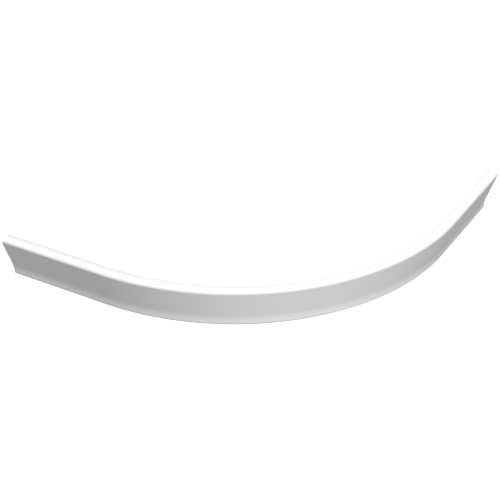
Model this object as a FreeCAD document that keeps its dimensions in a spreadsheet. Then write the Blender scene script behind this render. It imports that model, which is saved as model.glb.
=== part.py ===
import FreeCAD, Part
import math
import os
import Sketcher
from FreeCAD import Placement, Rotation, Vector

# Curved front panel of a quadrant shower tray, standing on the floor in front of the tray.
# +Z is up, -Y is the front, and the origin is on the floor at the middle of the panel's box.
# Each piece is drawn in the frame of the quadrant: X runs outwards from the centre of the curve
# and Z is the axis of the curve, so X is also the radius at which a piece stands.

# Driving dimensions in millimetres and degrees
SIZES = {
    # Outline of the acrylic panel
    "tray_radius": 550,
    "straight_length": 250,
    "panel_height": 95,
    "face_setback": 26,
    "toe_height": 16,
    "toe_blend": 60,
    "sheet_wall": 4,
    "top_edge_radius": 6,
    "flange_width": 23.5,
    "bead_width": 4,
    "bead_height": 2.5,
    "bead_draft": 0.8,
    "end_undercut": 8,
    # Laminate behind the face, and the strip under the toe
    "backing_wall": 3,
    "backing_foot": 4,
    "backing_head_gap": 6,
    "backing_end_gap": 5,
    "seal_height": 3,
    "seal_width": 6,
    "seal_inset": 0.5,
    "seal_bevel": 1,
    # Fixing blocks
    "block_foot": 18,
    "block_margin": 3,
    "screw_cover": 3,
    "end_block_length": 60,
    # Slotted rails
    "rail_base": 3,
    "rail_lip": 2,
    "rail_shoulder": 4.5,
    "rail_end_wall": 2,
    "rail_tab": 12,
    "rail_corner": 3,
    # Leg clips that slide in the rails
    "clip_pitch_angle": 20,
    "clip_travel": 12,
    "clip_height": 16,
    "clip_wall": 3,
    "clip_mouth_angle": 100,
    "clip_lip": 5,
    "clip_flare_angle": 30,
    "leg_diameter": 30,
    "neck_length": 2.5,
    "neck_width": 12,
    "neck_height": 8.8,
    "foot_thickness": 4,
    "foot_width": 20,
    "foot_height": 14.4,
    "slide_gap": 0.3,
    # Slotted steel angles at the walls
    "angle_wall": 2.5,
    "angle_length": 64,
    "angle_reach": 16,
    "angle_height": 22,
    "angle_bend": 2,
    "angle_travel": 6,
    "angle_screw_margin": 24,
    "angle_screw_pitch": 24,
    "wall_hole_diameter": 5,
    "wall_hole_margin": 6,
    "plate_gap": 0.2,
    # Screws and washers
    "screw_diameter": 4,
    "screw_length": 13,
    "screw_head_flats": 7,
    "screw_head_height": 2.8,
    "hole_gap": 0.3,
    "pilot_gap": 0.1,
    "pilot_extra": 1,
    "washer_diameter": 12,
    "washer_wall": 1,
}

# A quadrant turns through a right angle, half of it on each side of the front
QUADRANT = 90
HALF_QUADRANT = QUADRANT / 2
FRONT = "-90 deg"

# Places of the four clips along the curve, in clip pitches from the front
STATIONS = (-1.5, -0.5, 0.5, 1.5)
SIDES = {"left": -1, "right": 1}

doc = FreeCAD.newDocument("quadrant_panel")
sizes = doc.addObject("Spreadsheet::Sheet", "sizes")
derived = doc.addObject("App::VarSet", "derived")


def fill_sheet():
    """One row for each driving dimension: its name and its value."""
    for row, (name, value) in enumerate(SIZES.items(), start=1):
        sizes.set(f"A{row}", name)
        sizes.set(f"B{row}", str(value))
        sizes.setAlias(f"B{row}", name)
    doc.recompute()


def derive(name, expression):
    """A value worked out from the driving dimensions."""
    derived.addProperty("App::PropertyFloat", name, "Derived")
    derived.setExpression(name, expression)


def face_radius(height, depth):
    """Radius of the leaning face at a height, this deep behind its outer surface."""
    drop = f"(sizes.panel_height - ({height})) * derived.slope"
    return f"sizes.tray_radius - {drop} - ({depth}) * derived.stretch"


def fill_derived():
    """Slopes, depths and places that more than one piece uses."""
    derive("slope", "sizes.face_setback / (sizes.panel_height - sizes.toe_height)")
    derive("stretch", "sqrt(1 + derived.slope ^ 2)")
    derive("bend_rise", "(derived.stretch - 1) / derived.slope")
    derive("toe_radius", "sizes.tray_radius - sizes.face_setback")
    derive("laminate", "sizes.sheet_wall + sizes.backing_wall")
    derive("sheet_blend", "sizes.toe_blend + sizes.sheet_wall")
    derive("laminate_blend", "sizes.toe_blend + derived.laminate")
    derive("leg_end", "sizes.straight_length - sizes.end_undercut - sizes.backing_end_gap")
    derive("slot_length", "sizes.foot_width + 2 * (sizes.clip_travel + sizes.slide_gap)")
    derive("slot_height", "sizes.foot_height + 2 * sizes.slide_gap")
    derive("mouth_height", "sizes.neck_height + 2 * sizes.slide_gap")
    derive("housing_length", "derived.slot_length + 2 * sizes.rail_end_wall")
    derive("rail_length", "derived.housing_length + 2 * sizes.rail_tab")
    derive("rail_height", "derived.slot_height + 2 * sizes.rail_shoulder")
    derive("housing_depth", "sizes.foot_thickness + 2 * sizes.slide_gap + sizes.rail_lip")
    derive("rail_screw_place", "(derived.housing_length + sizes.rail_tab) / 2")
    derive("block_height", "derived.rail_height + 2 * sizes.block_margin")
    derive("block_width", "derived.rail_length + 2 * sizes.block_margin")
    derive("fixing_height", "sizes.block_foot + derived.block_height / 2")
    derive("rail_screw_bite", "sizes.screw_length - sizes.rail_base")
    back = face_radius("derived.fixing_height", "derived.laminate")
    derive("block_face", f"{back} - derived.rail_screw_bite - sizes.screw_cover")
    derive("rail_face", "derived.block_face - sizes.rail_base")
    derive("rail_back", "derived.rail_face - derived.housing_depth")
    derive("ring_inside", "sizes.leg_diameter / 2")
    derive("ring_outside", "derived.ring_inside + sizes.clip_wall")
    derive("ring_place", "derived.rail_back - sizes.neck_length - derived.ring_outside")
    derive("angle_face", "derived.block_face - sizes.plate_gap")
    derive("angle_back", "derived.angle_face - sizes.angle_wall")
    derive("angle_tip", "derived.angle_face - sizes.angle_reach")
    derive("angle_outer_bend", "sizes.angle_bend + sizes.angle_wall")
    derive("angle_slot_reach", "sizes.angle_travel + sizes.hole_gap")
    derive("washer_face", "derived.angle_back - sizes.plate_gap")
    derive("washer_back", "derived.washer_face - sizes.washer_wall")
    derive("shank_radius", "sizes.screw_diameter / 2")
    derive("hole_radius", "derived.shank_radius + sizes.hole_gap")
    derive("pilot_radius", "derived.shank_radius + sizes.pilot_gap")
    derive("wall_hole_radius", "sizes.wall_hole_diameter / 2")
    derive("washer_radius", "sizes.washer_diameter / 2")
    derive("front", "sizes.tray_radius - sizes.top_edge_radius * (derived.stretch + derived.slope - 1)")
    derive("rear", "(sizes.straight_length - derived.angle_tip) * sqrt(0.5)")
    derive("curve_centre", "(derived.front - derived.rear) / 2")
    doc.recompute()


def value(path):
    """Number that a name such as sizes.toe_blend stands for."""
    owner, name = path.split(".")
    return float(getattr(doc.getObject(owner), name))


def new_body(name, turn):
    """Body in the frame of the quadrant, turned about the axis of the curve."""
    body = doc.addObject("PartDesign::Body", name)
    body.Label = name
    body.Placement = Placement(Vector(), Rotation(Vector(0, 0, 1), 1))
    body.setExpression("Placement.Base.y", "derived.curve_centre")
    body.setExpression("Placement.Rotation.Angle", turn)
    return body


def station_turn(station):
    return f"({station} * sizes.clip_pitch_angle) * 1 deg + {FRONT}"


def end_turn(side):
    return f"{side * HALF_QUADRANT} deg + {FRONT}"


def origin_plane(body, role):
    return next(plane for plane in body.Origin.OriginFeatures if plane.Role == role)


def new_sketch(body, name, role, lift=None, turn=0):
    """Sketch on one of the body's own planes, lifted along its normal or turned about its upright."""
    sketch = body.newObject("Sketcher::SketchObject", f"{body.Name}_{name}")
    sketch.AttachmentSupport = [(origin_plane(body, role), "")]
    sketch.MapMode = "FlatFace"
    sketch.AttachmentOffset = Placement(Vector(), Rotation(Vector(0, 1, 0), turn))
    if lift:
        sketch.setExpression("AttachmentOffset.Base.z", lift)
    return sketch


def bind(sketch, kind, first, first_spot, second, second_spot, expression):
    """Dimension between two points of a sketch."""
    constraint = Sketcher.Constraint(kind, first, first_spot, second, second_spot, 1.0)
    index = sketch.addConstraint(constraint)
    sketch.setExpression(f"Constraints[{index}]", expression)


def bind_radius(sketch, curve, path):
    index = sketch.addConstraint(Sketcher.Constraint("Radius", curve, value(path)))
    sketch.setExpression(f"Constraints[{index}]", path)


def fix_point(sketch, curve, spot, x, y):
    """Dimension a point of a sketch from the sketch's origin."""
    bind(sketch, "DistanceX", -1, 1, curve, spot, x)
    bind(sketch, "DistanceY", -1, 1, curve, spot, y)


def place_corners(sketch, corners):
    """Construction points at the corners, and where the sketch puts them."""
    points = []
    for x, y, radius in corners:
        point = sketch.addGeometry(Part.Point(Vector()), True)
        fix_point(sketch, point, 1, x, y)
        points.append(point)
    sketch.recompute()
    return points, [sketch.getPoint(point, 1) for point in points]


def round_corner(before, corner, after, radius):
    """Arc that rounds a corner, with the ends where it meets the line before and the line after."""
    back = (before - corner).normalize()
    ahead = (after - corner).normalize()
    half = back.getAngle(ahead) / 2
    start = corner + back * (radius / math.tan(half))
    end = corner + ahead * (radius / math.tan(half))
    centre = corner + (back + ahead).normalize() * (radius / math.sin(half))
    first, last = start - centre, end - centre
    anticlockwise = first.cross(last).z > 0
    if not anticlockwise:
        first, last = last, first
    angles = [math.atan2(arm.y, arm.x) for arm in (first, last)]
    circle = Part.Circle(centre, Vector(0, 0, 1), radius)
    arc = Part.ArcOfCircle(circle, angles[0], angles[0] + (angles[1] - angles[0]) % math.tau)
    return arc, start, end, anticlockwise


def draw_outline(sketch, corners):
    """Closed outline of straight lines through (x, y, radius) corners, a radius of None being sharp."""
    points, spots = place_corners(sketch, corners)
    count = len(corners)
    starts, ends, arcs, arc_ends = list(spots), list(spots), {}, {}
    for i, (x, y, radius) in enumerate(corners):
        if radius:
            rounded = round_corner(spots[i - 1], spots[i], spots[(i + 1) % count], value(radius))
            arc, starts[i], ends[i], anticlockwise = rounded
            arcs[i] = sketch.addGeometry(arc, False)
            arc_ends[i] = (1, 2) if anticlockwise else (2, 1)
    lines = []
    for i in range(count):
        line = Part.LineSegment(ends[i], starts[(i + 1) % count])
        lines.append(sketch.addGeometry(line, False))
    for i, (x, y, radius) in enumerate(corners):
        before, after = lines[i - 1], lines[i]
        if not radius:
            sketch.addConstraint(Sketcher.Constraint("Coincident", before, 2, points[i], 1))
            sketch.addConstraint(Sketcher.Constraint("Coincident", after, 1, points[i], 1))
            continue
        sketch.addConstraint(Sketcher.Constraint("Tangent", before, 2, arcs[i], arc_ends[i][0]))
        sketch.addConstraint(Sketcher.Constraint("Tangent", arcs[i], arc_ends[i][1], after, 1))
        sketch.addConstraint(Sketcher.Constraint("PointOnObject", points[i], 1, before))
        sketch.addConstraint(Sketcher.Constraint("PointOnObject", points[i], 1, after))
        bind_radius(sketch, arcs[i], radius)


def draw_box(sketch, left, right, bottom, top):
    """Rectangle between two uprights and two levels."""
    corners = [(left, bottom), (right, bottom), (right, top), (left, top)]
    draw_outline(sketch, [(x, y, None) for x, y in corners])


def draw_circle(sketch, x, y, radius):
    circle = Part.Circle(Vector(), Vector(0, 0, 1), value(radius))
    curve = sketch.addGeometry(circle, False)
    fix_point(sketch, curve, 3, x, y)
    bind_radius(sketch, curve, radius)


def draw_slot(sketch, middle, reach, level, radius):
    """Level slot with round ends, its end centres this far to each side of the middle."""
    size = value(radius)
    centres, spots = place_corners(sketch, [(f"{middle} {sign} {reach}", level, None) for sign in "-+"])
    quarter = math.pi / 2
    ends = []
    for spot, first in zip(spots, (quarter, -quarter)):
        circle = Part.Circle(spot, Vector(0, 0, 1), size)
        ends.append(sketch.addGeometry(Part.ArcOfCircle(circle, first, first + math.pi), False))
    for centre, end in zip(centres, ends):
        sketch.addConstraint(Sketcher.Constraint("Coincident", centre, 1, end, 3))
    rise = Vector(0, size, 0)
    for sign, left_spot, right_spot in ((1, 1, 2), (-1, 2, 1)):
        line = Part.LineSegment(spots[0] + rise * sign, spots[1] + rise * sign)
        edge = sketch.addGeometry(line, False)
        sketch.addConstraint(Sketcher.Constraint("Tangent", ends[0], left_spot, edge, 1))
        sketch.addConstraint(Sketcher.Constraint("Tangent", edge, 2, ends[1], right_spot))
    bind_radius(sketch, ends[0], radius)


def new_feature(body, kind, sketch):
    feature = body.newObject(f"PartDesign::{kind}", f"{sketch.Name}_{kind.lower()}")
    feature.Profile = sketch
    return feature


def add_pad(body, sketch, length, side="Symmetric", back=False):
    """Sketch carried along its normal, backwards where asked."""
    pad = new_feature(body, "Pad", sketch)
    pad.SideType = side
    pad.Reversed = back
    pad.setExpression("Length", length)
    return pad


def add_revolution(body, sketch, axis, angle):
    turned = new_feature(body, "Revolution", sketch)
    turned.ReferenceAxis = (sketch, [axis])
    turned.Angle = angle
    return turned


def add_mirror(body, originals):
    """Copies of features on the other side of the panel's middle."""
    mirror = body.newObject("PartDesign::Mirrored", f"{body.Name}_mirror")
    mirror.Originals = originals
    mirror.MirrorPlane = (origin_plane(body, "XZ_Plane"), [""])
    body.Tip = mirror
    return mirror


def settle_cut(body, cut):
    """Recompute a cut and make sure that it took material away."""
    before = cut.BaseFeature.Shape.Volume
    doc.recompute()
    if not cut.Shape.Volume < before:
        raise RuntimeError(f"{cut.Name} cuts nothing from {body.Name}")
    return cut


def cut_through(body, sketch):
    """Cut right through the body on both sides of the sketch."""
    doc.recompute()
    cut = new_feature(body, "Pocket", sketch)
    cut.SideType = "Symmetric"
    cut.Type = "ThroughAll"
    return settle_cut(body, cut)


def cut_depth(body, sketch, length, side="One side", back=False):
    """Cut to a depth, against the sketch's normal, or along it where asked."""
    doc.recompute()
    cut = new_feature(body, "Pocket", sketch)
    cut.SideType = side
    cut.Reversed = back
    cut.setExpression("Length", length)
    return settle_cut(body, cut)


def carry_round(body, corners, length):
    """Section carried round the quadrant and straight on along both ends; gives the left end."""
    section = new_sketch(body, "section", "XZ_Plane", turn=-HALF_QUADRANT)
    draw_outline(section, corners)
    add_revolution(body, section, "V_Axis", QUADRANT)
    left_end = add_pad(body, section, length, "One side")
    doc.recompute()
    return left_end


def toe_corner(depth, blend):
    """Bend between toe and leaning face, this deep behind the outer surface."""
    return (f"derived.toe_radius - {depth}", f"sizes.toe_height + {depth} * derived.bend_rise", blend)


def make_apron_shell():
    """Acrylic sheet: flange with a bead along its inner edge, leaning face and upright toe."""
    body = new_body("apron_shell", FRONT)
    bead_front = "sizes.tray_radius - sizes.flange_width"
    bead_back = f"{bead_front} - sizes.bead_width"
    bead_top = "sizes.panel_height + sizes.bead_height"
    flange_under = "sizes.panel_height - sizes.sheet_wall"
    inner_top = "sizes.tray_radius - sizes.sheet_wall * (derived.stretch + derived.slope)"
    inner_toe = "derived.toe_radius - sizes.sheet_wall"
    left_end = carry_round(body, [
        ("derived.toe_radius", "sizes.seal_height", None),
        ("derived.toe_radius", "sizes.toe_height", "sizes.toe_blend"),
        ("sizes.tray_radius", "sizes.panel_height", "sizes.top_edge_radius"),
        (bead_front, "sizes.panel_height", None),
        (f"{bead_front} - sizes.bead_draft", bead_top, None),
        (bead_back, bead_top, None),
        (bead_back, flange_under, None),
        (inner_top, flange_under, None),
        toe_corner("sizes.sheet_wall", "derived.sheet_blend"),
        (inner_toe, "sizes.seal_height", None),
    ], "sizes.straight_length")
    undercut = new_sketch(body, "undercut", "YZ_Plane", turn=-HALF_QUADRANT)
    draw_outline(undercut, [
        ("-sizes.straight_length", "sizes.panel_height", None),
        ("sizes.end_undercut - sizes.straight_length", "0 * sizes.panel_height", None),
        ("-sizes.straight_length - sizes.end_undercut", "0 * sizes.panel_height", None),
        ("-sizes.straight_length - sizes.end_undercut", "sizes.panel_height", None),
    ])
    add_mirror(body, [left_end, cut_through(body, undercut)])
    return body


def make_grp_backing():
    """Glass-fibre laminate behind the leaning face and the toe."""
    body = new_body("grp_backing", FRONT)
    head = "sizes.panel_height - sizes.sheet_wall - sizes.backing_head_gap"
    left_end = carry_round(body, [
        ("derived.toe_radius - sizes.sheet_wall", "sizes.backing_foot", None),
        toe_corner("sizes.sheet_wall", "derived.sheet_blend"),
        (face_radius(head, "sizes.sheet_wall"), head, None),
        (face_radius(head, "derived.laminate"), head, None),
        toe_corner("derived.laminate", "derived.laminate_blend"),
        ("derived.toe_radius - derived.laminate", "sizes.backing_foot", None),
    ], "derived.leg_end")
    add_mirror(body, [left_end])
    return body


def make_floor_seal():
    """Soft strip between the toe and the floor, bevelled where it meets the floor."""
    body = new_body("floor_seal", FRONT)
    front = "derived.toe_radius - sizes.seal_inset"
    back = f"{front} - sizes.seal_width"
    left_end = carry_round(body, [
        (f"{front} - sizes.seal_bevel", "0 * sizes.seal_height", None),
        (front, "sizes.seal_bevel", None),
        (front, "sizes.seal_height", None),
        (back, "sizes.seal_height", None),
        (back, "sizes.seal_bevel", None),
        (f"{back} + sizes.seal_bevel", "0 * sizes.seal_height", None),
    ], "sizes.straight_length - sizes.end_undercut")
    add_mirror(body, [left_end])
    return body


def drill_pilots(body, places, bite):
    """Pilot holes for screws in the flat back of a block, deeper than the screws bite."""
    pilots = new_sketch(body, "pilots", "YZ_Plane", lift="derived.block_face")
    for place in places:
        draw_circle(pilots, place, "derived.fixing_height", "derived.pilot_radius")
    cut_depth(body, pilots, f"{bite} + sizes.pilot_extra", back=True)


def make_clip_block(number, station):
    """Plywood block with a flat back, its front shaped to the curve of the laminate."""
    body = new_body(f"clip_block_{number}", station_turn(station))
    top = "sizes.block_foot + derived.block_height"
    blank = new_sketch(body, "blank", "YZ_Plane", lift="derived.block_face")
    draw_box(blank, "-derived.block_width / 2", "derived.block_width / 2", "sizes.block_foot", top)
    add_pad(body, blank, "sizes.tray_radius - derived.block_face", "One side")
    doc.recompute()
    front = new_sketch(body, "front", "XZ_Plane")
    draw_outline(front, [
        (face_radius("0", "derived.laminate"), "0 * sizes.panel_height", None),
        ("sizes.tray_radius * 2", "0 * sizes.panel_height", None),
        ("sizes.tray_radius * 2", "sizes.panel_height", None),
        (face_radius("sizes.panel_height", "derived.laminate"), "sizes.panel_height", None),
    ])
    doc.recompute()
    groove = new_feature(body, "Groove", front)
    groove.ReferenceAxis = (front, ["V_Axis"])
    groove.Angle = 360
    settle_cut(body, groove)
    places = ("-derived.rail_screw_place", "derived.rail_screw_place")
    drill_pilots(body, places, "derived.rail_screw_bite")
    return body


def make_clip_rail(number, station):
    """Moulded rail: a base with two screw tabs, and a housing with a T-shaped slot along it."""
    body = new_body(f"clip_rail_{number}", station_turn(station))
    low = "derived.fixing_height - derived.rail_height / 2"
    high = "derived.fixing_height + derived.rail_height / 2"
    base = new_sketch(body, "base", "YZ_Plane", lift="derived.block_face")
    end = "derived.rail_length / 2"
    shoulder = f"({end} - sizes.rail_corner)"
    low_shoulder, high_shoulder = f"{low} + sizes.rail_corner", f"{high} - sizes.rail_corner"
    draw_outline(base, [
        (f"-{shoulder}", low, None),
        (shoulder, low, None),
        (end, low_shoulder, None),
        (end, high_shoulder, None),
        (shoulder, high, None),
        (f"-{shoulder}", high, None),
        (f"-{end}", high_shoulder, None),
        (f"-{end}", low_shoulder, None),
    ])
    add_pad(body, base, "sizes.rail_base", "One side", back=True)
    housing = new_sketch(body, "housing", "YZ_Plane", lift="derived.rail_face")
    draw_box(housing, "-derived.housing_length / 2", "derived.housing_length / 2", low, high)
    add_pad(body, housing, "derived.housing_depth", "One side", back=True)
    slot = new_sketch(body, "slot", "XZ_Plane")
    lip = "derived.rail_back + sizes.rail_lip"
    clear = "derived.rail_back - sizes.rail_lip"
    half_slot, half_mouth = "derived.slot_height / 2", "derived.mouth_height / 2"
    draw_outline(slot, [
        ("derived.rail_face", f"derived.fixing_height - {half_slot}", None),
        ("derived.rail_face", f"derived.fixing_height + {half_slot}", None),
        (lip, f"derived.fixing_height + {half_slot}", None),
        (lip, f"derived.fixing_height + {half_mouth}", None),
        (clear, f"derived.fixing_height + {half_mouth}", None),
        (clear, f"derived.fixing_height - {half_mouth}", None),
        (lip, f"derived.fixing_height - {half_mouth}", None),
        (lip, f"derived.fixing_height - {half_slot}", None),
    ])
    cut_depth(body, slot, "derived.slot_length", "Symmetric")
    holes = new_sketch(body, "holes", "YZ_Plane", lift="derived.block_face")
    for sign in ("-", ""):
        draw_circle(holes, f"{sign}derived.rail_screw_place", "derived.fixing_height", "derived.hole_radius")
    cut_through(body, holes)
    return body


def make_leg_clip(number, station):
    """Spring clip: an open ring with flared lips, a neck, and a foot that slides in the rail."""
    body = new_body(f"leg_clip_{number}", station_turn(station))
    level = "derived.fixing_height"
    ring = new_sketch(body, "ring", "XY_Plane", lift=level)
    for radius in ("derived.ring_outside", "derived.ring_inside"):
        draw_circle(ring, "derived.ring_place", "0 * derived.ring_place", radius)
    add_pad(body, ring, "sizes.clip_height")
    mouth = new_sketch(body, "mouth", "XY_Plane", lift=level)
    half_mouth = "(sizes.clip_mouth_angle / 2 * 1 deg)"
    far = "2 * derived.ring_outside"
    draw_outline(mouth, [
        ("derived.ring_place", "0 * derived.ring_place", None),
        (f"derived.ring_place - {far} * cos{half_mouth}", f"{far} * sin{half_mouth}", None),
        (f"derived.ring_place - {far} * cos{half_mouth}", f"-{far} * sin{half_mouth}", None),
    ])
    cut_through(body, mouth)
    lips = new_sketch(body, "lips", "XY_Plane", lift=level)
    flare = "(sizes.clip_flare_angle * 1 deg)"
    root_x = f"derived.ring_place - derived.ring_inside * cos{half_mouth}"
    root_y = f"derived.ring_inside * sin{half_mouth}"
    tip_x, tip_y = f"{root_x} - sizes.clip_lip * cos{flare}", f"{root_y} + sizes.clip_lip * sin{flare}"
    back_x, back_y = f"sizes.clip_wall * sin{flare}", f"sizes.clip_wall * cos{flare}"
    for side in SIDES.values():
        draw_outline(lips, [
            (root_x, f"{side} * ({root_y})", None),
            (tip_x, f"{side} * ({tip_y})", None),
            (f"{tip_x} + {back_x}", f"{side} * ({tip_y} + {back_y})", None),
            (f"{root_x} + {back_x}", f"{side} * ({root_y} + {back_y})", None),
        ])
    add_pad(body, lips, "sizes.clip_height")
    foot_front = "derived.rail_face - sizes.slide_gap"
    foot_back = f"{foot_front} - sizes.foot_thickness"
    neck = new_sketch(body, "neck", "XY_Plane", lift=level)
    neck_end = "derived.ring_place + derived.ring_inside + sizes.clip_wall / 2"
    draw_box(neck, neck_end, foot_front, "-sizes.neck_width / 2", "sizes.neck_width / 2")
    add_pad(body, neck, "sizes.neck_height")
    foot = new_sketch(body, "foot", "XY_Plane", lift=level)
    half_foot = "sizes.foot_width / 2"
    draw_box(foot, foot_back, foot_front, f"-{half_foot}", half_foot)
    add_pad(body, foot, "sizes.foot_height")
    return body


def end_place(side, from_wall):
    """Place along a straight end, measured back from the wall."""
    return f"{side} * (sizes.straight_length - ({from_wall}))"


def angle_screw_places(side):
    """The two screws that hold an angle, counted from the wall."""
    first = "sizes.angle_screw_margin"
    return [end_place(side, first), end_place(side, f"{first} + sizes.angle_screw_pitch")]


def make_end_block(name, side):
    """Plywood block on a straight end, bevelled to the lean of the face."""
    body = new_body(f"end_block_{name}", end_turn(side))
    top = "sizes.block_foot + derived.block_height"
    middle = "derived.leg_end - sizes.end_block_length / 2"
    section = new_sketch(body, "section", "XZ_Plane", lift=f"{-side} * ({middle})")
    draw_outline(section, [
        ("derived.block_face", "sizes.block_foot", None),
        (face_radius("sizes.block_foot", "derived.laminate"), "sizes.block_foot", None),
        (face_radius(top, "derived.laminate"), top, None),
        ("derived.block_face", top, None),
    ])
    add_pad(body, section, "sizes.end_block_length")
    spent = "(derived.block_face - derived.washer_back)"
    drill_pilots(body, angle_screw_places(side), f"sizes.screw_length - {spent}")
    return body


def make_wall_angle(name, side):
    """Bent steel angle: two slots on the block's side, a screw hole on the wall's side."""
    body = new_body(f"wall_angle_{name}", end_turn(side))
    wall = end_place(side, "0")
    inside = end_place(side, "sizes.angle_wall")
    tail = end_place(side, "sizes.angle_length")
    plan = new_sketch(body, "plan", "XY_Plane", lift="derived.fixing_height")
    draw_outline(plan, [
        ("derived.angle_face", tail, None),
        ("derived.angle_face", wall, "derived.angle_outer_bend"),
        ("derived.angle_tip", wall, None),
        ("derived.angle_tip", inside, None),
        ("derived.angle_back", inside, "sizes.angle_bend"),
        ("derived.angle_back", tail, None),
    ])
    add_pad(body, plan, "sizes.angle_height")
    slots = new_sketch(body, "slots", "YZ_Plane", lift="derived.angle_face")
    for place in angle_screw_places(side):
        draw_slot(slots, place, "derived.angle_slot_reach", "derived.fixing_height", "derived.hole_radius")
    cut_through(body, slots)
    hole = new_sketch(body, "wall_hole", "XZ_Plane", lift=f"{-side} * sizes.straight_length")
    draw_circle(hole, "derived.angle_tip + sizes.wall_hole_margin", "derived.fixing_height",
                "derived.wall_hole_radius")
    cut_through(body, hole)
    return body


def make_hex_screw():
    """Hexagon-head wood screw along X, with the underside of its head at the origin."""
    body = doc.addObject("PartDesign::Body", "hex_screw")
    axis = "0 * sizes.screw_length"
    flat = "sizes.screw_head_flats / 2"
    corner = "sizes.screw_head_flats / sqrt(3)"
    head = new_sketch(body, "head", "YZ_Plane")
    draw_outline(head, [
        (flat, f"-{corner} / 2", None),
        (flat, f"{corner} / 2", None),
        (axis, corner, None),
        (f"-{flat}", f"{corner} / 2", None),
        (f"-{flat}", f"-{corner} / 2", None),
        (axis, f"-{corner}", None),
    ])
    add_pad(body, head, "sizes.screw_head_height", "One side", back=True)
    shank = new_sketch(body, "shank", "YZ_Plane")
    draw_circle(shank, axis, axis, "derived.shank_radius")
    add_pad(body, shank, "sizes.screw_length", "One side")
    doc.recompute()
    return body


def make_washer():
    """Flat washer on the X axis, with its front at the origin."""
    body = doc.addObject("PartDesign::Body", "flat_washer")
    ring = new_sketch(body, "ring", "YZ_Plane")
    for radius in ("derived.washer_radius", "derived.hole_radius"):
        draw_circle(ring, "0 * sizes.washer_diameter", "0 * sizes.washer_diameter", radius)
    add_pad(body, ring, "sizes.washer_wall", "One side", back=True)
    doc.recompute()
    return body


def make_group(name, master, places):
    """Copies of one fastener in one node, each turned to (turn, x, y) in the quadrant's frame."""
    copies = []
    for number, (turn, x, y) in enumerate(places, start=1):
        copy = doc.addObject("App::Link", f"{name}_{number}")
        copy.LinkedObject = master
        copy.Placement = Placement(Vector(), Rotation(Vector(0, 0, 1), 1))
        copy.setExpression("Placement.Rotation.Angle", turn)
        copy.setExpression("Placement.Base.x", f"{x} * cos({turn}) - ({y}) * sin({turn})")
        height = f"{x} * sin({turn}) + ({y}) * cos({turn})"
        copy.setExpression("Placement.Base.y", f"derived.curve_centre + {height}")
        copy.setExpression("Placement.Base.z", "derived.fixing_height")
        copies.append(copy)
    group = doc.addObject("Part::Compound", name)
    group.Label = name
    group.Links = copies
    doc.recompute()
    return group


def rail_screw_places():
    """One screw in each tab of each rail, its head on the rail's base."""
    return [(station_turn(station), "derived.rail_face", f"{sign}derived.rail_screw_place")
            for station in STATIONS for sign in ("-", "")]


def angle_places(seat):
    """One fastener in each slot of each angle, on a seat at this radius."""
    return [(end_turn(side), seat, place) for side in SIDES.values() for place in angle_screw_places(side)]


def make_nodes():
    """Every piece of the panel."""
    nodes = [make_apron_shell(), make_grp_backing(), make_floor_seal()]
    for number, station in enumerate(STATIONS, start=1):
        nodes.append(make_clip_block(number, station))
        nodes.append(make_clip_rail(number, station))
        nodes.append(make_leg_clip(number, station))
    for name, side in SIDES.items():
        nodes.append(make_end_block(name, side))
        nodes.append(make_wall_angle(name, side))
    screw = make_hex_screw()
    nodes.append(make_group("rail_screws", screw, rail_screw_places()))
    nodes.append(make_group("angle_screws", screw, angle_places("derived.washer_back")))
    nodes.append(make_group("angle_washers", make_washer(), angle_places("derived.washer_face")))
    return nodes


def check_document(nodes):
    """Stop if anything failed to build."""
    for item in doc.Objects:
        if "Invalid" in item.State or "Error" in item.State:
            raise RuntimeError(f"{item.Name} failed: {item.State}")
    for node in nodes:
        if node.Shape.isNull() or not node.Shape.isValid():
            raise RuntimeError(f"{node.Label} has no valid shape")


def write_nodes(nodes):
    os.makedirs("parts", exist_ok=True)
    for node in nodes:
        node.Shape.exportStep(f"parts/{node.Label}.step")
        box = node.Shape.optimalBoundingBox()
        print(f"{node.Label}: {len(node.Shape.Solids)} solids, {node.Shape.Volume:.0f} mm3, "
              f"X {box.XMin:.1f} to {box.XMax:.1f}, Y {box.YMin:.1f} to {box.YMax:.1f}, "
              f"Z {box.ZMin:.1f} to {box.ZMax:.1f}")


fill_sheet()
fill_derived()
all_nodes = make_nodes()
doc.recompute()
check_document(all_nodes)
write_nodes(all_nodes)
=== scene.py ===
import math

import bmesh
import bpy
import numpy as np
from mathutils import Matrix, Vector


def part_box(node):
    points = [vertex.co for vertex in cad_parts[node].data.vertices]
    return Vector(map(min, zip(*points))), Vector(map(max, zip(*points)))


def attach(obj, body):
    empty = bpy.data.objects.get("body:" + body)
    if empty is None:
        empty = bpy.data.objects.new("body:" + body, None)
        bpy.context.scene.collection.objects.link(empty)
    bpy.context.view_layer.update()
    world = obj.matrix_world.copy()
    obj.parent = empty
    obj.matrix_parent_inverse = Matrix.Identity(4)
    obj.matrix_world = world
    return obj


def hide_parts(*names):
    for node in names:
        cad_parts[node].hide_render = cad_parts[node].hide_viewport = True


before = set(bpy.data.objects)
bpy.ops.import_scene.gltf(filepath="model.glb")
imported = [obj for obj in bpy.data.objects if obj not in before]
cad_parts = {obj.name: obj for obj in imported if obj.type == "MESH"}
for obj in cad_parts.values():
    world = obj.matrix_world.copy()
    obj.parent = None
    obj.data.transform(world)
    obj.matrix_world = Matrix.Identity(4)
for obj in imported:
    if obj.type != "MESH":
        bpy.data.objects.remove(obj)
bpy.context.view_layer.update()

# Curved front panel of a quadrant shower tray, seen from its front, which faces -Y.
# Lengths are in metres and angles in radians. A section of the panel is drawn as radius from the
# centre of the curve and height above the floor.
MM = 0.001

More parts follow.
